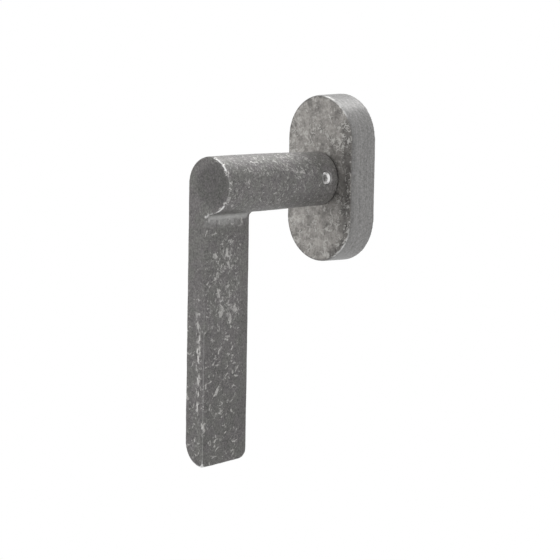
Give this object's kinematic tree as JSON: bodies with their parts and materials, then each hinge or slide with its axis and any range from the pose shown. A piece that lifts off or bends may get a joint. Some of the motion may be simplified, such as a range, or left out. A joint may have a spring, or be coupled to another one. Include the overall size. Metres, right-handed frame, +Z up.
{
  "type": "window handle",
  "caption": "Cast window handle: a round neck on an oval rose carries a flat hanging arm; it turns on a square spindle with a click at each quarter turn.",
  "frame": {"origin": "where the spindle's axis meets the back of the rose, on the sash", "axes": "+Y into the sash along the spindle, +Z up, so the arm hangs down and the handle reaches out towards -Y"},
  "size_m": [0.0344, 0.085, 0.1398],
  "materials": {
    "tumbled_casting": "raw dark grey casting, tumbled, with light speckles and worn bright edges",
    "tumbled_rose": "raw grey casting, tumbled, with ground sides",
    "bright_screw": "bright zinc plating",
    "steel": "drawn steel",
    "spring_steel": "blued strip",
    "zinc_casting": "plain zinc die casting",
    "nylon": "black nylon"
  },
  "bodies": {
    "rose_unit": {"rose_cover": "tumbled_rose", "neck_bush": "nylon", "base_plate": "zinc_casting", "leaf_spring_left": "spring_steel", "leaf_spring_right": "spring_steel", "thrust_washer": "nylon", "retaining_plate": "steel", "plate_screws": "bright_screw", "fixing_screws": "bright_screw"},
    "lever_unit": {"lever": "tumbled_casting", "grub_screw": "bright_screw", "spindle": "steel", "drive_hub": "steel"}
  },
  "joints": [
    {"name": "lever_turn", "type": "hinge", "parent": "rose_unit", "child": "lever_unit", "pos_m": [0, 0, 0], "axis": [0, 1, 0], "range_deg": [-180, 180], "deforming": ["leaf_spring_left", "leaf_spring_right"]}
  ]
}
